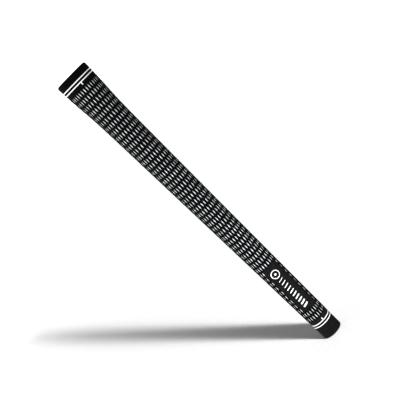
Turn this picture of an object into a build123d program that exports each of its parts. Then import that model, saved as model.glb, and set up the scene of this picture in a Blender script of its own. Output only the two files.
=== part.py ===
from build123d import *
from math import atan2, cos, exp, pi, radians, sin
import os

os.makedirs("parts", exist_ok=True)

# Corded rubber golf grip. The mouth, where the club shaft goes in, is at z = 0 and
# the butt cap is at the top. The front, with the label and the two alignment
# ticks, faces -Y. All lengths are in millimetres and all angles in degrees.

# Overall size
grip_length = 267.0
mouth_radius = 8.2
taper_gain = 2.5
taper_span = 200.0
taper_power = 1.2
flare_gain = 1.6
flare_height = 246.0
flare_width = 7.0

# Core that the shaft fills: 0.600 inch round at the butt, narrower at the mouth
core_radius_butt = 7.62
core_radius_mouth = 6.2
core_land = 10.0
cap_floor = 5.0
vent_radius = 1.3

# Shallow moulded ring in the butt cap's end face
end_groove_radius = 6.6
end_groove_width = 0.8
end_groove_depth = 0.25

# Wall layers
skin_depth = 0.8
sleeve_top_radius = 10.4
cap_corner = 1.4
lip_corner = 0.72

# Cord rows
row_count = 48
row_pitch = 4.95
first_row_drop = 14.21
float_length = 4.1
float_width = 1.05
float_rise = 0.14
float_pitch = 2.41
mouth_float_share = 0.88
label_rows = range(37, 46)
slip_row = 26

# Paint lines: the rings are measured from the nearer end of the grip
ring_width = 0.9
paint_depth = 0.3
butt_ring_drops = (5.93, 8.25)
mouth_ring_heights = (11.7, 14.0)
tick_length = 2.0
tick_width = 0.95

# Label: the margins run from its sides to the nearest floats, in float pitches, and on
# the left every second row starts nearer
label_half_angle = 46.5
label_margin_right = 0.41
label_margin_left = 0.55
label_margin_swing = 0.3
mark_drop = 4.2
mark_shift = -0.95
mark_height = 4.4
emblem_radius = 3.5
emblem_line = 0.75
emblem_dot_radius = 0.9
bars_gap = 2.3
bar_count = 10
bar_pitch = 2.95
thin_bar = 0.6
thick_bar = 1.5
bar_slant = 1.1


def outer_radius(height):
    """Radius of the outside: a slow taper with a flare under the butt cap."""
    taper = taper_gain * (max(height, 0.0) / taper_span) ** taper_power
    flare = flare_gain / (1 + exp(-(height - flare_height) / flare_width))
    return mouth_radius + taper + flare


def core_radius(height):
    """Radius of the hole for the shaft: a parallel land, then a straight taper."""
    climb = max(height - core_land, 0) / (grip_length - cap_floor - core_land)
    return core_radius_mouth + (core_radius_butt - core_radius_mouth) * climb


def row_height(row):
    """Height of the middle of a cord row, counted from the butt."""
    return grip_length - first_row_drop - row * row_pitch


def row_edge(row):
    """Height of the edge of a cord row that is nearer the butt."""
    return row_height(row) + row_pitch / 2


def float_count(row):
    """How many cord floats go once round the grip in a row; the weave is a little uneven."""
    unevenness = 1 + 0.05 * cos(1.22 * row + 0.122 * row**2)
    return round(2 * pi * outer_radius(row_height(row)) / float_pitch * unevenness)


def float_places(row):
    """Where a row's floats go round the axis: each row is staggered by about half a float."""
    count = float_count(row)
    step = 360 / count
    if row in label_rows:
        right = label_margin_right * step
        left = (label_margin_left - label_margin_swing * (row % 2)) * step
        span = 360 - 2 * label_half_angle - right - left
        beside = round(span / step) + 1
        return PolarLocations(0, beside, 270 + label_half_angle + right, span, endpoint=True)
    stagger = row / 2 - 0.32 * sin(pi * row / 36) + (0.5 if row >= slip_row else 0)
    return PolarLocations(0, count, 270 + stagger % 1 * step)


skin_top = row_edge(0)
skin_foot = row_edge(row_count)
label_top = row_edge(label_rows[0])
label_foot = row_edge(label_rows[-1] + 1)
sleeve_top = grip_length - cap_floor
row_edges = [row_edge(row) for row in range(row_count, -1, -1)]
butt_rings = [grip_length - drop for drop in butt_ring_drops]
ring_edges = sorted(
    middle + side * ring_width / 2
    for middle in (*butt_rings, *mouth_ring_heights)
    for side in (-1, 1)
)


def outside_line(low, high, depth):
    """Points a set depth below the outside, from one height up to another."""
    between = [edge for edge in (*ring_edges, *row_edges) if low < edge < high]
    heights = [low, *sorted(set(between)), high]
    return [(outer_radius(height) - depth, height) for height in heights]


def wall_layer(low, high, outer_depth, inner_depth, start=0.0, sweep=360.0):
    """A layer of the wall between two depths, turned about the grip's axis."""
    turned = radians(start)
    cut = Plane(
        origin=(0, 0, 0),
        x_dir=(cos(turned), sin(turned), 0),
        z_dir=(sin(turned), -cos(turned), 0),
    )
    outside = outside_line(low, high, outer_depth)
    inside = reversed(outside_line(low, high, inner_depth))
    with BuildPart() as layer:
        with BuildSketch(cut):
            with BuildLine():
                Polyline(*outside, *inside, close=True)
            make_face()
        revolve(axis=Axis.Z, revolution_arc=sweep)
    return layer.part


# Paint: rings round both ends, sunk in shallow grooves
ring_names = ("butt_ring_outer", "butt_ring_inner", "mouth_ring_outer", "mouth_ring_inner")
paint_rings = {}
for ring_name, middle in zip(ring_names, (*butt_rings, *mouth_ring_heights)):
    with BuildPart() as paint_ring:
        add(wall_layer(middle - ring_width / 2, middle + ring_width / 2, 0, paint_depth))
    paint_ring.part.label = ring_name
    export_step(paint_ring.part, f"parts/{ring_name}.step")
    paint_rings[ring_name] = paint_ring.part

# Paint: the alignment tick of each end runs from its inner ring towards the grip's middle
butt_tick_top = butt_rings[1] - ring_width / 2
mouth_tick_foot = mouth_ring_heights[1] + ring_width / 2
tick_spans = {
    "butt_tick": (butt_tick_top - tick_length, butt_tick_top),
    "mouth_tick": (mouth_tick_foot, mouth_tick_foot + tick_length),
}
paint_ticks = {}
for tick_name, (low, high) in tick_spans.items():
    with BuildPart() as paint_tick:
        add(wall_layer(low, high, 0, paint_depth, 225, 90))
        with BuildSketch(Plane.XZ):
            with Locations((0, (low + high) / 2)):
                Rectangle(tick_width, tick_length)
        extrude(amount=2 * outer_radius(high), mode=Mode.INTERSECT)
    paint_tick.part.label = tick_name
    export_step(paint_tick.part, f"parts/{tick_name}.step")
    paint_ticks[tick_name] = paint_tick.part

# Paint: the label's mark is a ring with a dot in it, and a run of slanted bars
emblem_middle = label_top - mark_drop - emblem_radius
with BuildPart() as label_emblem:
    add(wall_layer(label_foot, label_top, 0, paint_depth, 225, 90))
    with BuildSketch(Plane.XZ):
        with Locations((mark_shift, emblem_middle)):
            Circle(emblem_radius)
            Circle(emblem_radius - emblem_line, mode=Mode.SUBTRACT)
            Circle(emblem_dot_radius)
    extrude(amount=2 * mouth_radius, mode=Mode.INTERSECT)
label_emblem.part.label = "label_emblem"
export_step(label_emblem.part, "parts/label_emblem.step")

with BuildPart() as label_bars:
    add(wall_layer(label_foot, label_top, 0, paint_depth, 225, 90))
    with BuildSketch(Plane.XZ):
        for bar in range(bar_count):
            width = thin_bar + (thick_bar - thin_bar) * bar / (bar_count - 1)
            middle = emblem_middle - emblem_radius - bars_gap - bar * bar_pitch
            half = mark_height / 2
            rise = bar_slant / 2
            with Locations((mark_shift, middle)):
                Polygon(
                    (-half, -rise - width / 2),
                    (half, rise - width / 2),
                    (half, rise + width / 2),
                    (-half, -rise + width / 2),
                )
    extrude(amount=2 * mouth_radius, mode=Mode.INTERSECT)
label_bars.part.label = "label_bars"
export_step(label_bars.part, "parts/label_bars.step")

# Smooth rubber panel that carries the label
with BuildPart() as label_panel:
    add(wall_layer(label_foot, label_top, 0, skin_depth, 270 - label_half_angle, 2 * label_half_angle))
    add(label_emblem.part, mode=Mode.SUBTRACT)
    add(label_bars.part, mode=Mode.SUBTRACT)
label_panel.part.label = "label_panel"
export_step(label_panel.part, "parts/label_panel.step")

# Base tube moulded on the mandrel, with the core for the shaft
with BuildPart() as inner_sleeve:
    with BuildSketch(Plane.XZ):
        with BuildLine():
            Polyline(
                *outside_line(0, skin_top, skin_depth),
                (sleeve_top_radius, skin_top),
                (sleeve_top_radius, sleeve_top),
                (core_radius(sleeve_top), sleeve_top),
                (core_radius(core_land), core_land),
                (core_radius(0), 0),
                close=True,
            )
        make_face()
    revolve(axis=Axis.Z)
inner_sleeve.part.label = "inner_sleeve"
export_step(inner_sleeve.part, "parts/inner_sleeve.step")

# Corded skin in two halves that meet at the mould seams on the grip's two sides
with BuildPart() as skin_front:
    add(wall_layer(skin_foot, skin_top, 0, skin_depth, 180, 180))
    add(wall_layer(label_foot, label_top, -1, 2, 270 - label_half_angle, 2 * label_half_angle),
        mode=Mode.SUBTRACT)
skin_front.part.label = "skin_front"
export_step(skin_front.part, "parts/skin_front.step")

with BuildPart() as skin_back:
    add(wall_layer(skin_foot, skin_top, 0, skin_depth, 0, 180))
skin_back.part.label = "skin_back"
export_step(skin_back.part, "parts/skin_back.step")

# Plain collar at the mouth, with a rounded lip
with BuildPart() as mouth_collar:
    add(wall_layer(0, skin_foot, 0, skin_depth))
    lip = mouth_collar.edges().filter_by(GeomType.CIRCLE).group_by(Axis.Z)[0].sort_by(SortBy.RADIUS)[-1]
    fillet(lip, radius=lip_corner)
    add(paint_rings["mouth_ring_outer"], mode=Mode.SUBTRACT)
    add(paint_rings["mouth_ring_inner"], mode=Mode.SUBTRACT)
    add(paint_ticks["mouth_tick"], mode=Mode.SUBTRACT)
mouth_collar.part.label = "mouth_collar"
export_step(mouth_collar.part, "parts/mouth_collar.step")

# Butt cap: a floor over the sleeve's end, a skirt round it, the vent hole and a ring groove
with BuildPart() as butt_cap:
    with BuildSketch(Plane.XZ):
        with BuildLine():
            Polyline(
                *outside_line(skin_top, grip_length, 0),
                (0, grip_length),
                (0, sleeve_top),
                (sleeve_top_radius, sleeve_top),
                (sleeve_top_radius, skin_top),
                close=True,
            )
        make_face()
    revolve(axis=Axis.Z)
    rim = butt_cap.edges().filter_by(GeomType.CIRCLE).group_by(Axis.Z)[-1].sort_by(SortBy.RADIUS)[-1]
    fillet(rim, radius=cap_corner)
    with Locations((0, 0, sleeve_top)):
        Cylinder(
            vent_radius,
            cap_floor,
            align=(Align.CENTER, Align.CENTER, Align.MIN),
            mode=Mode.SUBTRACT,
        )
    with BuildSketch(Plane.XY.offset(grip_length)):
        Circle(end_groove_radius)
        Circle(end_groove_radius - end_groove_width, mode=Mode.SUBTRACT)
    extrude(amount=-end_groove_depth, mode=Mode.SUBTRACT)
    add(paint_rings["butt_ring_outer"], mode=Mode.SUBTRACT)
    add(paint_rings["butt_ring_inner"], mode=Mode.SUBTRACT)
    add(paint_ticks["butt_tick"], mode=Mode.SUBTRACT)
butt_cap.part.label = "butt_cap"
export_step(butt_cap.part, "parts/butt_cap.step")

# Cord floats: the short lengths of cord that come up through the rubber, row by row
cord_zones = {
    "cord_butt": range(0, 12),
    "cord_upper": range(12, 24),
    "cord_middle": range(24, 37),
    "cord_label": label_rows,
    "cord_mouth": range(46, row_count),
}


def cord_float(row):
    """One float of a row, lying on the grip's +X side along the grip."""
    low = row_edge(row + 1)
    high = row_edge(row)
    lean = atan2(outer_radius(high) - outer_radius(low), high - low)
    seat = Plane(
        origin=((outer_radius(low) + outer_radius(high)) / 2, 0, row_height(row)),
        x_dir=(0, 1, 0),
        z_dir=(cos(lean), 0, -sin(lean)),
    )
    half = float_length / 2
    shoulder = float_length / 5
    side = float_width / 2 * (mouth_float_share if row > label_rows[-1] else 1)
    with BuildPart() as cord_piece:
        with BuildSketch(seat):
            Polygon(
                (0, half),
                (-side, shoulder),
                (-side, -shoulder),
                (0, -half),
                (side, -shoulder),
                (side, shoulder),
            )
        extrude(amount=float_rise)
    return cord_piece.part


for zone_name, rows in cord_zones.items():
    pieces = [cord_float(row) for row in rows]
    with BuildPart() as cord_zone:
        for row, piece in zip(rows, pieces):
            with float_places(row):
                add(piece, clean=False)
    cord_zone.part.label = zone_name
    export_step(cord_zone.part, f"parts/{zone_name}.step")
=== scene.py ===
import math
import random

import bpy
import numpy as np
from mathutils import Matrix, Vector


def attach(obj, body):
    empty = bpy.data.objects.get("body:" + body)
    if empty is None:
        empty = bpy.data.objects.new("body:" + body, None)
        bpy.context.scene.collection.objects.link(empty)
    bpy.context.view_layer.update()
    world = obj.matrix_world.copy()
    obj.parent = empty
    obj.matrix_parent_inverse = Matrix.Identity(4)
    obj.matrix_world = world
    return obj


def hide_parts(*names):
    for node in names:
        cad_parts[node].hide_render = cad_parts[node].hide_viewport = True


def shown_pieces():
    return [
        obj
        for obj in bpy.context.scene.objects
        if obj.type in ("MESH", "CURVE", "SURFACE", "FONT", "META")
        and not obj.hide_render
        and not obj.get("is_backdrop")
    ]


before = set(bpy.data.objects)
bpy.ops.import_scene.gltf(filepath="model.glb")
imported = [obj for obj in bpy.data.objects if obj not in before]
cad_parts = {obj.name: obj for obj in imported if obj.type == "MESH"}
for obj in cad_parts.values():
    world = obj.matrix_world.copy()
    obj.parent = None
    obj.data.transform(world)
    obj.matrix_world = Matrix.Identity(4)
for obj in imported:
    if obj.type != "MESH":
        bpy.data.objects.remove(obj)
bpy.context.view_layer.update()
MM = 0.001

# ---------------------------------------------------------------- the grip's rules
# The same sizes as the CAD model, in millimetres. Angles go round the axis from the
# front (-Y) towards +X, in radians.

GRIP_LENGTH = 267.0
MOUTH_RADIUS = 8.2
TAPER_GAIN = 2.5
TAPER_SPAN = 200
TAPER_POWER = 1.2
FLARE_GAIN = 1.6
FLARE_HEIGHT = 246
FLARE_WIDTH = 7

CORE_RADIUS_BUTT = 7.62
CORE_RADIUS_MOUTH = 6.2
CORE_LAND = 10.0
CAP_FLOOR = 5.0
VENT_RADIUS = 1.3
END_GROOVE_RADIUS = 6.6
END_GROOVE_WIDTH = 0.8
END_GROOVE_DEPTH = 0.25
SKIN_DEPTH = 0.8
SLEEVE_TOP_RADIUS = 10.4
CAP_CORNER = 1.4
LIP_CORNER = 0.72

ROW_COUNT = 48
ROW_PITCH = 4.95
FIRST_ROW_DROP = 14.21
FLOAT_LENGTH = 4.1
FLOAT_WIDTH = 1.05
FLOAT_PITCH = 2.41
MOUTH_FLOAT_SHARE = 0.88
LABEL_ROWS = range(37, 46)
SLIP_ROW = 26

RING_WIDTH = 0.9
BUTT_RINGS = (GRIP_LENGTH - 5.93, GRIP_LENGTH - 8.25)
MOUTH_RINGS = (11.7, 14.0)
TICK_LENGTH = 2.0
TICK_WIDTH = 0.95

# The margins run from the label's sides to the nearest floats, in float pitches
LABEL_HALF_ANGLE = math.radians(46.5)
LABEL_MARGIN_RIGHT = 0.41
LABEL_MARGIN_LEFT = 0.55
LABEL_MARGIN_SWING = 0.3
MARK_DROP = 4.2
MARK_SHIFT = -0.95
MARK_HEIGHT = 4.4
EMBLEM_RADIUS = 3.5
EMBLEM_LINE = 0.75
EMBLEM_DOT_RADIUS = 0.9
BARS_GAP = 2.3
BAR_COUNT = 10
BAR_PITCH = 2.95
THIN_BAR = 0.6
THICK_BAR = 1.5
BAR_SLANT = 1.1


def outer_radius(z):
    """The grip's outside: a taper that flares into the butt cap."""
    z = np.maximum(z, 0.0)
    taper = TAPER_GAIN * (z / TAPER_SPAN) ** TAPER_POWER
    return MOUTH_RADIUS + taper + FLARE_GAIN / (1 + np.exp(-(z - FLARE_HEIGHT) / FLARE_WIDTH))


def row_height(row):
    """Height of the middle of a cord row, counted from the butt."""
    return GRIP_LENGTH - FIRST_ROW_DROP - row * ROW_PITCH


def row_edge(row):
    """Height of the edge of a cord row that is nearer the butt."""
    return row_height(row) + ROW_PITCH / 2


SKIN_TOP = row_edge(0)
SKIN_FOOT = row_edge(ROW_COUNT)
LABEL_TOP = row_edge(LABEL_ROWS[0])
LABEL_FOOT = row_edge(LABEL_ROWS[-1] + 1)


def float_angles(row):
    """Where a row's floats go round the axis: each row is staggered by about half a float."""
    around = 2 * math.pi * outer_radius(row_height(row))
    unevenness = 1 + 0.05 * math.cos(1.22 * row + 0.122 * row**2)
    count = round(around / FLOAT_PITCH * unevenness)
    step = 2 * math.pi / count
    if row in LABEL_ROWS:
        right = LABEL_MARGIN_RIGHT * step
        left = (LABEL_MARGIN_LEFT - LABEL_MARGIN_SWING * (row % 2)) * step
        span = 2 * math.pi - 2 * LABEL_HALF_ANGLE - right - left
        gaps = round(span / step)
        return [LABEL_HALF_ANGLE + right + turn * span / gaps for turn in range(gaps + 1)]
    stagger = row / 2 - 0.32 * math.sin(math.pi * row / 36) + (0.5 if row >= SLIP_ROW else 0)
    return [(turn + stagger % 1) * step for turn in range(count)]


def float_half_width(row):
    """The cords lie a little narrower in the rows between the label and the mouth."""
    return FLOAT_WIDTH / 2 * (MOUTH_FLOAT_SHARE if row > LABEL_ROWS[-1] else 1)


# Every cord float, with the small unevenness of a real weave
PLACE_JITTER = 0.06
HEIGHT_JITTER = 0.08
LENGTH_JITTER = 0.05
WIDTH_JITTER = 0.07
TILT_JITTER = 0.03
chance = random.Random(11)
floats = {row: [] for row in range(ROW_COUNT)}
for row in range(ROW_COUNT):
    for angle in float_angles(row):
        aside = chance.uniform(-PLACE_JITTER, PLACE_JITTER) / outer_radius(row_height(row))
        floats[row].append(
            {
                "angle": angle + aside,
                "height": row_height(row) + chance.uniform(-HEIGHT_JITTER, HEIGHT_JITTER),
                "long": FLOAT_LENGTH / 2 * chance.uniform(1 - LENGTH_JITTER, 1 + LENGTH_JITTER),
                "wide": float_half_width(row) * chance.uniform(1 - WIDTH_JITTER, 1 + WIDTH_JITTER),
                "tilt": chance.uniform(-TILT_JITTER, TILT_JITTER),
                "shade": chance.random(),
            }
        )


# ---------------------------------------------------------------- mesh helpers


def on_grip(angle, z, radius):
    """Points in metres from angles, heights and radii in millimetres."""
    return np.stack([radius * np.sin(angle), -radius * np.cos(angle), z + 0 * angle], -1) * MM


def make_piece(name, points, faces, material, slot, *nodes, sharp=38):
    """A piece made of closed solids, whose faces are all listed with their normals outwards."""
    mesh = bpy.data.meshes.new(name)
    mesh.from_pydata(np.asarray(points).reshape(-1, 3).tolist(), [], faces)
    mesh.polygons.foreach_set("use_smooth", [True] * len(mesh.polygons))
    mesh.set_sharp_from_angle(angle=math.radians(sharp))
    mesh.materials.append(material)
    piece = bpy.data.objects.new(name, mesh)
    bpy.context.scene.collection.objects.link(piece)
    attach(piece, "root")
    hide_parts(*nodes)
    return piece


def flipped(faces):
    """The same faces, seen from their other side."""
    return [tuple(reversed(face)) for face in faces]


def moved(faces, first):
    """The same faces over points that start at another number."""
    return [tuple(first + v for v in face) for face in faces]


def grid_faces(rows, columns, wrap=False):
    """Quads of a grid of points stored row by row; wrap joins the last row to the first."""
    faces = []
    for i in range(rows if wrap else rows - 1):
        a, b = i * columns, (i + 1) % rows * columns
        faces += [(a + k, b + k, b + k + 1, a + k + 1) for k in range(columns - 1)]
    return faces


def lathe(name, profile, material, slot, *nodes, turns=256):
    """A closed ring of revolution from a closed profile of (radius, height) points."""
    profile = np.array(profile)
    angle = np.linspace(0, 2 * math.pi, turns, endpoint=False)[:, None]
    points = on_grip(angle, profile[None, :, 1], profile[None, :, 0] + 0 * angle)
    columns = len(profile)
    faces = []
    for i in range(turns):
        a, b = i * columns, (i + 1) % turns * columns
        for k in range(columns):
            n = (k + 1) % columns
            faces.append((a + k, b + k, b + n, a + n))
    return make_piece(name, points, faces, material, slot, *nodes)


def outside(z, inset=0.0):
    """A profile point on the grip's outside, or set in from it."""
    return (float(outer_radius(z)) - inset, float(z))


def corner(centre_r, centre_z, radius, start, end, steps):
    """Points of a rounded corner, from one direction to another in degrees."""
    turned = np.radians(np.linspace(start, end, steps))
    return [(centre_r + radius * math.cos(a), centre_z + radius * math.sin(a)) for a in turned]


# ---------------------------------------------------------------- materials


class Surface:
    """A principled material, with short calls for the nodes that feed it."""

    def __init__(self, name):
        self.material = bpy.data.materials.new(name)
        self.material.use_nodes = True
        self.nodes = self.material.node_tree.nodes
        self.shader = self.nodes["Principled BSDF"]
        self.place = self.nodes.new("ShaderNodeTexCoord").outputs["Object"]

    def feed(self, socket, value):
        """Fills a socket from another node's output, a number or a colour."""
        if isinstance(value, bpy.types.NodeSocket):
            self.material.node_tree.links.new(value, socket)
        elif isinstance(value, tuple):
            socket.default_value = (*value, 1)
        else:
            socket.default_value = value

    def set(self, **values):
        """Fills the shader's sockets; an underscore stands for the space in a socket's name."""
        for name, value in values.items():
            self.feed(self.shader.inputs[name.replace("_", " ")], value)

    def noise(self, scale, detail, rough=0.55):
        node = self.nodes.new("ShaderNodeTexNoise")
        settings = {"Scale": scale, "Detail": detail, "Roughness": rough, "Vector": self.place}
        for socket, value in settings.items():
            self.feed(node.inputs[socket], value)
        return node.outputs["Fac"]

    def attribute(self, name):
        node = self.nodes.new("ShaderNodeAttribute")
        node.attribute_name = name
        return node.outputs["Fac"]

    def ramp(self, fac, low, dark, high, light):
        """Runs from a dark colour at the low value to a light one at the high value."""
        node = self.nodes.new("ShaderNodeValToRGB")
        for element, place, colour in zip(node.color_ramp.elements, (low, high), (dark, light)):
            element.position = place
            element.color = (*colour, 1)
        self.feed(node.inputs["Fac"], fac)
        return node.outputs["Color"]

    def span(self, value, low, high, out_low, out_high):
        """Maps a range of values onto another, and holds it there."""
        node = self.nodes.new("ShaderNodeMapRange")
        ends = {"From Min": low, "From Max": high, "To Min": out_low, "To Max": out_high}
        for socket, number in ends.items():
            self.feed(node.inputs[socket], number)
        self.feed(node.inputs["Value"], value)
        return node.outputs["Result"]

    def maths(self, operation, *values, clamp=False):
        """One step of arithmetic on sockets and numbers."""
        node = self.nodes.new("ShaderNodeMath")
        node.operation = operation
        node.use_clamp = clamp
        for socket, value in zip(node.inputs, values):
            self.feed(socket, value)
        return node.outputs[0]

    def mix(self, factor, first, second):
        """Goes from the first colour to the second as the factor goes from 0 to 1."""
        node = self.nodes.new("ShaderNodeMix")
        node.data_type = "RGBA"
        for socket, value in {"Factor": factor, "A": first, "B": second}.items():
            self.feed(node.inputs[socket], value)
        return node.outputs["Result"]

    def bump(self, *heights):
        """Chains bumps, from (height, strength, distance in metres), into the normal."""
        normal = None
        for height, strength, distance in heights:
            node = self.nodes.new("ShaderNodeBump")
            settings = {"Strength": strength, "Distance": distance, "Height": height}
            for socket, value in settings.items():
                self.feed(node.inputs[socket], value)
            if normal is not None:
                self.feed(node.inputs["Normal"], normal)
            normal = node.outputs["Normal"]
        self.set(Normal=normal)


def rubber(name, dark, light, rough, specular=0.4, band=None):
    """Moulded black rubber; band is a height range in mm and the two cooler colours it has."""
    surface = Surface(name)
    mottle = surface.noise(420, 4)
    fine = surface.noise(5200, 2)
    colour = surface.ramp(mottle, 0.32, dark, 0.72, light)
    if band is not None:
        low, high, cool_dark, cool_light = band
        split = surface.nodes.new("ShaderNodeSeparateXYZ")
        surface.feed(split.inputs[0], surface.place)
        offset = surface.maths("SUBTRACT", split.outputs["Z"], (low + high) / 2 * MM)
        away = surface.maths("ABSOLUTE", offset)
        half = (high - low) / 2 * MM
        inside = surface.span(away, half - 0.1 * MM, half + 0.1 * MM, 1, 0)
        cool = surface.ramp(mottle, 0.32, cool_dark, 0.72, cool_light)
        colour = surface.mix(inside, colour, cool)
    surface.set(
        Base_Color=colour,
        Roughness=surface.span(fine, 0.3, 0.7, rough - 0.07, rough + 0.07),
        Specular_IOR_Level=specular,
    )
    surface.bump((mottle, 0.25, 0.00006), (fine, 0.6, 0.00003))
    return surface.material


def corded_rubber():
    """Black rubber buffed down to the cord: greyer, with cut ends of fibre in it."""
    surface = Surface("rubber_corded")
    mottle = surface.noise(600, 5, 0.6)
    fine = surface.noise(7000, 2)
    fibres = surface.nodes.new("ShaderNodeTexVoronoi")
    surface.feed(fibres.inputs["Scale"], 2600)
    surface.feed(fibres.inputs["Vector"], surface.place)
    specks = surface.span(fibres.outputs["Distance"], 0.05, 0.16, 1.0, 0.0)
    base = surface.ramp(mottle, 0.3, (0.0034, 0.0043, 0.0046), 0.75, (0.0068, 0.0084, 0.0090))
    thin = surface.maths("MULTIPLY", specks, 0.45)
    surface.set(
        Base_Color=surface.mix(thin, base, (0.070, 0.076, 0.078)),
        Roughness=surface.span(fine, 0.3, 0.7, 0.72, 0.88),
        Specular_IOR_Level=0.15,
    )
    surface.bump((mottle, 0.4, 0.00008), (fine, 0.7, 0.00004))
    return surface.material


def white_paint():
    """Matt white paint, a little cloudy."""
    surface = Surface("paint_white")
    cloud = surface.noise(900, 4)
    fine = surface.noise(6000, 2)
    surface.set(
        Base_Color=surface.ramp(cloud, 0.25, (0.86, 0.86, 0.85), 0.6, (0.95, 0.95, 0.94)),
        Roughness=surface.span(fine, 0.3, 0.7, 0.4, 0.6),
    )
    surface.bump((cloud, 0.3, 0.00004), (fine, 0.4, 0.00002))
    return surface.material


# The yarn's twist, in radians along half a float and across half of it
YARN_TWIST = 9.0
YARN_LEAN = 4.0


def cotton_cord():
    """Cotton float: fine twisted fibres along it, darker towards its edges and tips, partly rubber
    stain and partly painted shade where it dips under the rubber.
    """
    surface = Surface("cord_white")
    along = surface.attribute("cord_along")
    across = surface.attribute("cord_across")
    shade = surface.attribute("cord_shade")
    fuzz = surface.noise(5200, 3, 0.6)
    lean = surface.maths("MULTIPLY", across, YARN_LEAN)
    twist = surface.maths("MULTIPLY_ADD", along, YARN_TWIST, lean)
    yarn = surface.span(surface.maths("SINE", twist), -1, 1, 0, 1)
    # Painted shade: the float darkens towards its edges and tips, where it dips under the rubber, and
    # this is partly a real rubber stain
    edge_stain_and_shade = surface.span(surface.maths("ABSOLUTE", across), 0.45, 0.95, 0, 1)
    tip_stain_and_shade = surface.span(surface.maths("ABSOLUTE", along), 0.1, 1.0, 0, 0.55)
    stain_and_shade = surface.maths("ADD", edge_stain_and_shade, tip_stain_and_shade, clamp=True)
    clean = surface.ramp(fuzz, 0.2, (0.74, 0.77, 0.775), 0.65, (0.91, 0.945, 0.95))
    tone = surface.mix(surface.span(shade, 0.2, 1, 0, 0.35), clean, (0.49, 0.51, 0.515))
    # The dark colour is the stain and painted shade at the float's edges and tips
    surface.set(
        Base_Color=surface.mix(stain_and_shade, tone, (0.085, 0.095, 0.098)),
        Roughness=surface.span(fuzz, 0.3, 0.7, 0.8, 0.95),
        Specular_IOR_Level=0.2,
        Sheen_Weight=0.15,
    )
    surface.bump((yarn, 0.5, 0.00006), (fuzz, 0.6, 0.00004))
    return surface.material


smooth_rubber = rubber(
    "rubber_smooth",
    (0.0062, 0.0060, 0.0060),
    (0.0091, 0.0086, 0.0086),
    0.78,
    specular=0.1,
    band=(SKIN_TOP - 1, BUTT_RINGS[1], (0.0064, 0.0084, 0.0089), (0.0098, 0.0124, 0.0129)),
)
collar_rubber = rubber(
    "rubber_collar",
    (0.0179, 0.0170, 0.0177),
    (0.0233, 0.0222, 0.0231),
    0.6,
    specular=0.08,
    band=(MOUTH_RINGS[1], SKIN_FOOT + 1, (0.0202, 0.0224, 0.0238), (0.0269, 0.0296, 0.0314)),
)
panel_rubber = rubber(
    "rubber_panel",
    (0.0147, 0.0154, 0.0159),
    (0.0203, 0.0212, 0.0219),
    0.55,
    specular=0.1,
)
core_rubber = rubber("rubber_core", (0.012, 0.012, 0.012), (0.024, 0.023, 0.022), 0.7)
skin_rubber = corded_rubber()
paint = white_paint()
cotton = cotton_cord()

# ---------------------------------------------------------------- corded skin
# One half is a grid in angle and height. Each float lies in its own shallow pocket
# with soft pillows of rubber between, and the label panel lies in a deeper one. A
# pocket's width and length are shares of its float's.

SKIN_TURNS = 156
BAND_STEPS = 12
POCKET_DEPTH = 0.22
POCKET_WIDTH = 1.06
POCKET_LENGTH = 1.12
POCKET_REACH = 1.12
POCKET_EDGE = 0.32
PILLOW = 0.09
ROW_GROOVE_DEPTH = PILLOW * 1.2
ROW_GROOVE_WIDTH = 0.35
SEAM_RISE = 0.05
SEAM_WIDTH = 0.16
PANEL_BED_DEPTH = SKIN_DEPTH * 0.8
PANEL_BED_EDGE = 0.1
PANEL_BED_EDGE_ANGLE = 0.012
SKIN_INNER_DEPTH = SKIN_DEPTH * 1.4


def skin_relief(angle, z, row):
    """Height of the skin above the plain taper, over a grid of angles and heights."""
    radius = outer_radius(z)
    relief = np.full(np.broadcast(angle, z).shape, PILLOW)
    for piece in floats[row]:
        aside = (angle - piece["angle"] + math.pi) % (2 * math.pi) - math.pi
        rise = z - piece["height"]
        across = (aside * radius - rise * piece["tilt"]) / (piece["wide"] * POCKET_WIDTH)
        reach = across**2 + (rise / (piece["long"] * POCKET_LENGTH)) ** 2
        sink = np.clip(POCKET_REACH - reach, 0, POCKET_EDGE) / POCKET_EDGE
        relief = np.minimum(relief, PILLOW - (PILLOW + POCKET_DEPTH) * sink * sink * (3 - 2 * sink))
    groove = np.minimum(np.abs(z - row_edge(row)), np.abs(z - row_edge(row + 1)))
    relief = relief - ROW_GROOVE_DEPTH * np.exp(-((groove / ROW_GROOVE_WIDTH) ** 2))
    turned = np.abs((angle + math.pi) % (2 * math.pi) - math.pi)
    seam = np.abs(turned - math.pi / 2) * radius
    return relief + SEAM_RISE * np.exp(-((seam / SEAM_WIDTH) ** 2))


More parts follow.
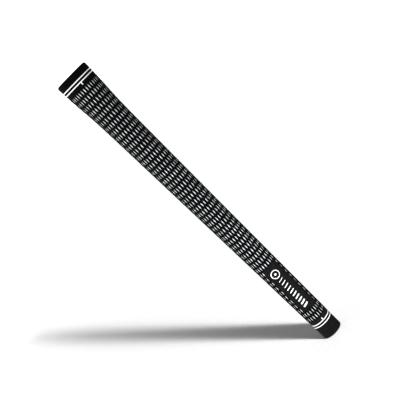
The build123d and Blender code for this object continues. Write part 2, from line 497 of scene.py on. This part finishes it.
def skin_half(name, node, middle):
    """Half of the skin, round a middle angle; the front half has the bed of the label panel."""
    angle = middle + np.linspace(-math.pi / 2, math.pi / 2, SKIN_TURNS + 1)
    holds_label = middle == 0
    if holds_label:
        for edge in (-LABEL_HALF_ANGLE, LABEL_HALF_ANGLE):
            nearest = int(np.argmin(np.abs(angle - edge)))
            outwards = 1 if edge > 0 else -1
            angle[nearest] = edge
            angle[nearest + outwards] = edge + outwards * PANEL_BED_EDGE_ANGLE
    bed = np.abs(angle) <= LABEL_HALF_ANGLE + 1e-6

    heights, relief = [], []
    for row in range(ROW_COUNT):
        steps = BAND_STEPS + (1 if row == ROW_COUNT - 1 else 0)
        z = row_edge(row) - ROW_PITCH * np.arange(steps) / BAND_STEPS
        level = skin_relief(angle[:, None], z[None, :], row)
        if holds_label and row in LABEL_ROWS:
            level[bed] = -PANEL_BED_DEPTH
        heights.append(z)
        relief.append(level)
    z = np.concatenate(heights)
    relief = np.concatenate(relief, axis=1)
    if holds_label:
        closing = int(np.argmin(np.abs(z - LABEL_FOOT)))
        relief[bed, closing] = -PANEL_BED_DEPTH
        z[closing + 1] = z[closing] - PANEL_BED_EDGE
        opening = int(np.argmin(np.abs(z - LABEL_TOP)))
        z[opening - 1] = z[opening] + PANEL_BED_EDGE

    inner_z = np.array([row_edge(row) for row in range(ROW_COUNT + 1)])
    inner_radius = np.broadcast_to(outer_radius(inner_z) - SKIN_INNER_DEPTH, (len(angle), len(inner_z)))
    outer = on_grip(angle[:, None], z[None, :], outer_radius(z)[None, :] + relief)
    inner = on_grip(angle[:, None], inner_z[None, :], inner_radius)
    points = np.concatenate([outer.reshape(-1, 3), inner.reshape(-1, 3)])

    # The outside, the inside, the two ends and the two long sides
    rows, columns, bands = len(angle), len(z), len(inner_z)
    first = rows * columns
    faces = flipped(grid_faces(rows, columns)) + moved(grid_faces(rows, bands), first)
    for i in range(rows - 1):
        a, b = i * columns, (i + 1) * columns
        c, d = first + i * bands, first + (i + 1) * bands
        faces.append((a, b, d, c))
        faces.append((a + columns - 1, c + bands - 1, d + bands - 1, b + columns - 1))
    for i, flip in ((0, True), (rows - 1, False)):
        side = []
        for band in range(bands - 1):
            rim = [i * columns + band * BAND_STEPS + k for k in range(BAND_STEPS + 1)]
            low = first + i * bands + band
            side.append((*rim, low + 1, low))
        faces += flipped(side) if flip else side
    return make_piece(name, points, faces, skin_rubber, "rubber_corded", node)


skin_half("corded_skin_front", "skin_front", 0.0)
skin_half("corded_skin_back", "skin_back", math.pi)

# ---------------------------------------------------------------- cord floats
# A float is a lens whose rim lies under the skin, so it is drawn a little over its
# size. Its grid has this many points along it and across it.

FLOAT_GRID = (13, 7)
FLOAT_OVERSIZE = 1.12
FLOAT_TIP = 0.05
FLOAT_RIM_DEPTH = 0.38
FLOAT_CROWN = 0.31
YARN_RISE = 0.012
YARN_PHASE = 6


def float_points(piece):
    """Points of one cord float, and its along, across and shade at each point."""
    along = np.linspace(-1, 1, FLOAT_GRID[0])[:, None]
    across = np.linspace(-1, 1, FLOAT_GRID[1])[None, :]
    taper = (1 - np.abs(along) ** 1.6) * (1 - FLOAT_TIP) + FLOAT_TIP
    z = piece["height"] + piece["long"] * FLOAT_OVERSIZE * along + 0 * across
    aside = piece["wide"] * FLOAT_OVERSIZE * taper * across
    radius = outer_radius(z)
    crown = (1 - across**2) ** 0.8 * (1 - np.abs(along) ** 3) ** 0.6
    yarn = YARN_RISE * np.sin(YARN_TWIST * along + YARN_LEAN * across + YARN_PHASE * piece["shade"])
    level = (FLOAT_CROWN + yarn) * crown - FLOAT_RIM_DEPTH
    angle = piece["angle"] + (aside + (z - piece["height"]) * piece["tilt"]) / radius
    points = on_grip(angle, z, radius + level)
    values = [np.broadcast_to(v, crown.shape).ravel() for v in (along, across, piece["shade"])]
    return points.reshape(-1, 3), values


def grid_rim(rows, columns):
    """Once round the border of a grid of points."""
    rim = [k for k in range(columns)]
    rim += [i * columns + columns - 1 for i in range(1, rows)]
    rim += [(rows - 1) * columns + k for k in range(columns - 2, -1, -1)]
    return rim + [i * columns for i in range(rows - 2, 0, -1)]


ZONES = {
    "cord_butt": range(0, 12),
    "cord_upper": range(12, 24),
    "cord_middle": range(24, 37),
    "cord_label": LABEL_ROWS,
    "cord_mouth": range(46, ROW_COUNT),
}
float_faces = flipped(grid_faces(*FLOAT_GRID) + [grid_rim(*FLOAT_GRID)])
for zone, rows in ZONES.items():
    points, faces, values = [], [], [[], [], []]
    for row in rows:
        for piece in floats[row]:
            faces += moved(float_faces, len(points) * FLOAT_GRID[0] * FLOAT_GRID[1])
            corners, attributes = float_points(piece)
            points.append(corners)
            for kept, value in zip(values, attributes):
                kept.append(value)
    joined = np.concatenate(points)
    piece = make_piece(zone + "_floats", joined, faces, cotton, "cord_white", zone, sharp=80)
    for name, value in zip(("cord_along", "cord_across", "cord_shade"), values):
        layer = piece.data.attributes.new(name, "FLOAT", "POINT")
        layer.data.foreach_set("value", np.concatenate(value).astype(np.float32))

# ---------------------------------------------------------------- ends, rings and sleeve
RING_GROOVE = 0.12
RING_GROOVE_EDGE = 0.03
PROFILE_STEP = 0.75
END_BEVEL = 0.1
END_BEVEL_HEIGHT = 0.12


def grooved(low, high, rings):
    """Outside points from one height up to another, dipping into a groove at each ring."""
    line = []
    for z in list(np.arange(low, high, PROFILE_STEP)) + [high]:
        if all(abs(z - ring) > RING_WIDTH / 2 + 0.1 for ring in rings):
            line.append(outside(z))
    for ring in rings:
        half = RING_WIDTH / 2
        line += [outside(ring - half), outside(ring + half)]
        line += [outside(ring + side * (half - RING_GROOVE_EDGE), RING_GROOVE) for side in (-1, 1)]
    return sorted(line, key=lambda point: point[1])


collar_start = 1.2
collar = (
    corner(outside(0)[0] - LIP_CORNER, LIP_CORNER, LIP_CORNER, -90, 0, 7)
    + grooved(collar_start, SKIN_FOOT - END_BEVEL_HEIGHT, MOUTH_RINGS)
    + [outside(SKIN_FOOT, END_BEVEL), outside(SKIN_FOOT, SKIN_DEPTH), outside(0, SKIN_DEPTH)]
)
lathe("mouth_collar_moulded", collar, collar_rubber, "rubber_smooth", "mouth_collar")

cap_corner_foot = GRIP_LENGTH - CAP_CORNER
cap_floor_height = GRIP_LENGTH - CAP_FLOOR
cap_flat_radius = 9.0
cap_vent_depth = 2.0
vent_corner = 0.3
groove_floor = GRIP_LENGTH - END_GROOVE_DEPTH
groove_inner_radius = END_GROOVE_RADIUS - END_GROOVE_WIDTH
groove_top_spread = 0.1
groove_floor_shrink = 0.05
cap = (
    [(SLEEVE_TOP_RADIUS, SKIN_TOP), outside(SKIN_TOP, END_BEVEL)]
    + grooved(SKIN_TOP + END_BEVEL_HEIGHT, cap_corner_foot - 0.3, BUTT_RINGS)
    + corner(outside(cap_corner_foot, CAP_CORNER)[0], cap_corner_foot, CAP_CORNER, 0, 90, 9)
    + [(cap_flat_radius, GRIP_LENGTH)]
    + [(END_GROOVE_RADIUS + groove_top_spread, GRIP_LENGTH)]
    + [(END_GROOVE_RADIUS - groove_floor_shrink, groove_floor)]
    + [(groove_inner_radius + groove_floor_shrink, groove_floor)]
    + [(groove_inner_radius - groove_top_spread, GRIP_LENGTH), (2 * VENT_RADIUS, GRIP_LENGTH)]
    + corner(VENT_RADIUS + vent_corner, GRIP_LENGTH - vent_corner, vent_corner, 90, 180, 5)
    + [(VENT_RADIUS, GRIP_LENGTH - cap_vent_depth), (VENT_RADIUS, cap_floor_height)]
    + [(SLEEVE_TOP_RADIUS, cap_floor_height)]
)
lathe("butt_cap_moulded", cap, smooth_rubber, "rubber_smooth", "butt_cap")

LAYER_GAP = 0.03
MOUTH_CHAMFER = 0.15
sleeve_heights = (0, *np.linspace(4, SKIN_TOP, 40))
sleeve_top = cap_floor_height - 0.02
sleeve = (
    [(CORE_RADIUS_MOUTH + MOUTH_CHAMFER, 0)]
    + [outside(z, SKIN_DEPTH + LAYER_GAP) for z in sleeve_heights]
    + [(SLEEVE_TOP_RADIUS - LAYER_GAP, z) for z in (SKIN_TOP, sleeve_top)]
    + [(CORE_RADIUS_BUTT, sleeve_top), (CORE_RADIUS_MOUTH, CORE_LAND)]
    + [(CORE_RADIUS_MOUTH, MOUTH_CHAMFER)]
)
lathe("inner_sleeve_moulded", sleeve, core_rubber, "rubber_base", "inner_sleeve", turns=128)

PAINT_SEAT = 0.3
RING_RISE = 0.015
RING_EDGE_DROP = 0.07
for name, height in (
    ("butt_ring_outer", BUTT_RINGS[0]),
    ("butt_ring_inner", BUTT_RINGS[1]),
    ("mouth_ring_outer", MOUTH_RINGS[0]),
    ("mouth_ring_inner", MOUTH_RINGS[1]),
):
    half = RING_WIDTH / 2
    seat = outside(height, PAINT_SEAT)[0]
    top = [
        outside(height + t * half, RING_EDGE_DROP * abs(t) ** 6 - RING_RISE)
        for t in np.linspace(-1, 1, 9)
    ]
    ring = [(seat, height - half)] + top + [(seat, height + half)]
    lathe(name + "_paint", ring, paint, "paint_white", name)

# ---------------------------------------------------------------- ticks and label


def sticker(x, z, rise, sink, wrap=False):
    """Closed solid over a grid of flat places x, z: its top follows the grip's outside."""
    radius = outer_radius(z)
    angle = np.arcsin(x / radius)
    top = on_grip(angle, z, radius + rise)
    low = on_grip(angle, z, radius - sink)
    rows, columns = x.shape
    count = rows * columns
    quads = grid_faces(rows, columns, wrap)
    rims = [grid_rim(rows, columns)]
    if wrap:
        inner_rim = [i * columns for i in reversed(range(rows))]
        outer_rim = [i * columns + columns - 1 for i in range(rows)]
        rims = [inner_rim, outer_rim]
    sides = []
    for rim in rims:
        sides += [(b, count + b, count + a, a) for a, b in zip(rim, rim[1:] + rim[:1])]
    faces = quads + flipped(moved(quads, count)) + sides
    return np.concatenate([top.reshape(-1, 3), low.reshape(-1, 3)]), faces


def join(solids):
    """Points and faces of several solids as one list each."""
    points, faces = [], []
    for corners, quads in solids:
        faces += moved(quads, sum(len(p) for p in points))
        points.append(corners)
    return np.concatenate(points), faces


def square(columns, rows):
    """Grid of u, v over a -1..1 square."""
    return np.linspace(-1, 1, columns)[:, None], np.linspace(-1, 1, rows)[None, :]


def edge_round(u, v, rise, soft):
    """Rise that falls off towards the border of a -1..1 square."""
    return rise - soft * (np.abs(u) ** 8 + np.abs(v) ** 8)


# The ticks start inside their ring's groove and end blunt
TICK_SINK = 0.25
TICK_RISE = 0.012
TICK_SOFT = 0.02
tick_overlap = 0.1
butt_tick_top = BUTT_RINGS[1] - RING_WIDTH / 2
mouth_tick_foot = MOUTH_RINGS[1] + RING_WIDTH / 2
for name, low, high, away in (
    ("butt_tick", butt_tick_top - TICK_LENGTH, butt_tick_top + tick_overlap, -1),
    ("mouth_tick", mouth_tick_foot - tick_overlap, mouth_tick_foot + TICK_LENGTH, 1),
):
    u, v = square(9, 9)
    blunt = 1 - 0.18 * np.clip(away * v - 0.6, 0, 1) ** 2 / 0.16
    x = u * TICK_WIDTH / 2 * blunt
    z = (low + high) / 2 + v * (high - low) / 2 + 0 * u
    points, faces = sticker(x, z, edge_round(u, v, TICK_RISE, TICK_SOFT), TICK_SINK)
    make_piece(name + "_paint", points, faces, paint, "paint_white", name)

PANEL_GAP = 0.1
PANEL_SINK = 0.6
PANEL_RISE = 0.02
PANEL_SOFT = 0.09
u, v = square(61, 91)
z = (LABEL_FOOT + LABEL_TOP) / 2 + v * ((LABEL_TOP - LABEL_FOOT) / 2 - PANEL_GAP) + 0 * u
x = outer_radius(z) * np.sin(u * (LABEL_HALF_ANGLE - PANEL_BED_EDGE_ANGLE))
points, faces = sticker(x, z, edge_round(u, v, PANEL_RISE, PANEL_SOFT), PANEL_SINK)
make_piece("label_panel_moulded", points, faces, panel_rubber, "rubber_panel", "label_panel")

# The label's mark: a ring with a dot, and slanted bars that grow thicker down the grip
MARK_SINK = 0.2
MARK_RISE = 0.035
MARK_SOFT = 0.015

emblem_middle = LABEL_TOP - MARK_DROP - EMBLEM_RADIUS
around = np.linspace(0, -2 * math.pi, 72, endpoint=False)[:, None]
outwards = np.linspace(-1, 1, 7)[None, :]
reach = EMBLEM_RADIUS - EMBLEM_LINE / 2 + outwards * EMBLEM_LINE / 2
ring = sticker(
    MARK_SHIFT + reach * np.cos(around),
    emblem_middle + reach * np.sin(around),
    MARK_RISE - 0.02 * outwards**6 + 0 * around,
    MARK_SINK,
    wrap=True,
)
u, v = square(11, 11)
disc = sticker(
    MARK_SHIFT + EMBLEM_DOT_RADIUS * u * np.sqrt(1 - v**2 / 2),
    emblem_middle + EMBLEM_DOT_RADIUS * v * np.sqrt(1 - u**2 / 2),
    edge_round(u, v, MARK_RISE, MARK_SOFT),
    MARK_SINK,
)
points, faces = join([ring, disc])
make_piece("label_emblem_paint", points, faces, paint, "paint_white", "label_emblem")

bars = []
for bar in range(BAR_COUNT):
    width = THIN_BAR + (THICK_BAR - THIN_BAR) * bar / (BAR_COUNT - 1)
    middle = emblem_middle - EMBLEM_RADIUS - BARS_GAP - bar * BAR_PITCH
    u, v = square(17, 7)
    blunt = 1 - 0.35 * np.clip((np.abs(u) - 0.9) / 0.1, 0, 1) ** 2
    x = MARK_SHIFT + u * MARK_HEIGHT / 2 + 0 * v
    z = middle + u * BAR_SLANT / 2 + v * width / 2 * blunt
    bars.append(sticker(x, z, edge_round(u, v, MARK_RISE, MARK_SOFT), MARK_SINK))
points, faces = join(bars)
make_piece("label_bars_paint", points, faces, paint, "paint_white", "label_bars")

# ---------------------------------------------------------------- camera and view
CAMERA_PLACE = Vector((-0.0691, -0.6259, 0.2546))
CAMERA_AIM = Vector((0.0006, 0.0, 0.1406))
CAMERA_ROLL = math.radians(45.76)

scene = bpy.context.scene
camera = bpy.data.objects.new("camera", bpy.data.cameras.new("camera"))
scene.collection.objects.link(camera)
scene.camera = camera
camera.data.lens = 80.34
camera.data.sensor_width = 36
camera.data.clip_start = 0.01
camera.location = CAMERA_PLACE
towards = (CAMERA_AIM - CAMERA_PLACE).normalized()
upright = (Vector((0, 0, 1)) - towards * towards.z).normalized()
sideways = towards.cross(upright)
up = upright * math.cos(CAMERA_ROLL) + sideways * math.sin(CAMERA_ROLL)
right = towards.cross(up)
camera.rotation_mode = "QUATERNION"
camera.rotation_quaternion = Matrix((right, up, -towards)).transposed().to_quaternion()

scene.view_settings.view_transform = "Standard"
scene.view_settings.look = "High Contrast"

# ---------------------------------------------------------------- floor and surroundings
FLOOR_REACH = 30.0
FLOOR_DROP = 0.0004

floor_mesh = bpy.data.meshes.new("floor")
floor_signs = [(-1, -1), (1, -1), (1, 1), (-1, 1)]
floor_corners = [(x * FLOOR_REACH, y * FLOOR_REACH, -FLOOR_DROP) for x, y in floor_signs]
floor_mesh.from_pydata(floor_corners, [], [(0, 1, 2, 3)])
floor = bpy.data.objects.new("floor", floor_mesh)
scene.collection.objects.link(floor)
floor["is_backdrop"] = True
floor.visible_diffuse = False
floor.visible_glossy = False
paper = Surface("floor_paper")
paper_grey = paper.ramp(paper.noise(300, 2), 0.3, (0.37, 0.37, 0.37), 0.7, (0.39, 0.39, 0.39))
paper.set(Base_Color=paper_grey, Roughness=0.95, Specular_IOR_Level=0.0)
floor_mesh.materials.append(paper.material)

# The camera sees a white surround, which gives the grip a weaker even light
SURROUND_SEEN = 1.0
SURROUND_GIVEN = 0.48

world = bpy.data.worlds.new("studio")
scene.world = world
world.use_nodes = True
nodes, links = world.node_tree.nodes, world.node_tree.links
nodes.clear()
pick = nodes.new("ShaderNodeMixShader")
for socket, strength in ((1, SURROUND_GIVEN), (2, SURROUND_SEEN)):
    background = nodes.new("ShaderNodeBackground")
    background.inputs["Color"].default_value = (1, 1, 1, 1)
    background.inputs["Strength"].default_value = strength
    links.new(background.outputs[0], pick.inputs[socket])
links.new(nodes.new("ShaderNodeLightPath").outputs["Is Camera Ray"], pick.inputs["Fac"])
links.new(pick.outputs[0], nodes.new("ShaderNodeOutputWorld").inputs["Surface"])

# ---------------------------------------------------------------- lights
# The softboxes light only the grip, and the suns further down only the floor
grip_lit = bpy.data.collections.new("grip_lit")
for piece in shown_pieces():
    grip_lit.objects.link(piece)
floor_lit = bpy.data.collections.new("floor_lit")
floor_lit.objects.link(floor)


def add_light(name, kind, power, way, receivers):
    """A light that shines along a direction, on the pieces of one collection only."""
    lamp = bpy.data.objects.new(name, bpy.data.lights.new(name, kind))
    lamp.data.energy = power
    scene.collection.objects.link(lamp)
    lamp.rotation_mode = "QUATERNION"
    lamp.rotation_quaternion = Vector(way).to_track_quat("-Z", "Y")
    lamp.light_linking.receiver_collection = receivers
    return lamp


def softbox(name, place, target, size, watts, spread=180):
    """A round softbox, in metres and watts; its beam's spread is in degrees."""
    lamp = add_light(name, "AREA", watts, Vector(target) - Vector(place), grip_lit)
    lamp.location = place
    lamp.data.shape = "DISK"
    lamp.data.size = size
    lamp.data.spread = math.radians(spread)


middle = (0, 0, 0.13)
foot = (0, 0, 0.02)
softbox("key", (-0.45, -0.55, 0.45), (0, 0, 0.24), 0.3, 2.1)
softbox("left_rim", (-0.8, 0.6, 0.3), middle, 0.9, 4.0)
softbox("low_left", (-0.36, -0.22, 0.03), foot, 0.3, 0.07, 45)
softbox("low_right", (0.26, -0.34, 0.03), foot, 0.3, 0.12, 45)
softbox("back", (0.35, 1.05, 0.4), middle, 0.9, 2.0)

# The floor's own light is a tall narrow softbox far away, brightest low down: a column
# of small suns that only the floor receives, so that the grip casts one soft long
# shadow. Heights and sizes are in degrees.
FLOOR_LIGHT = 4.36
LOWEST_SUN = 13.0
SUN_FADE = 5.5
SUN_COUNT = 14
SUN_SPACING = 1.9
SUN_SPACING_GROWTH = 0.1
SUN_SIZE = 1.9
SUN_SIZE_GROWTH = 0.5
SUN_TURN = math.radians(15)


def sun_edge(step):
    """The height where one sun's share of the column ends and the next one's starts."""
    return LOWEST_SUN + SUN_SPACING * step + SUN_SPACING_GROWTH * step**2


for step in range(SUN_COUNT):
    low, high = sun_edge(step) - LOWEST_SUN, sun_edge(step + 1) - LOWEST_SUN
    share = math.exp(-low / SUN_FADE) - math.exp(-high / SUN_FADE)
    height = math.radians(LOWEST_SUN + (low + high) / 2)
    level = Vector((-math.sin(SUN_TURN), math.cos(SUN_TURN), 0)) * math.cos(height)
    power = FLOOR_LIGHT * share / math.sin(height)
    sun = add_light("floor_sun", "SUN", power, level - Vector((0, 0, math.sin(height))), floor_lit)
    sun.data.angle = math.radians(SUN_SIZE + SUN_SIZE_GROWTH * low)
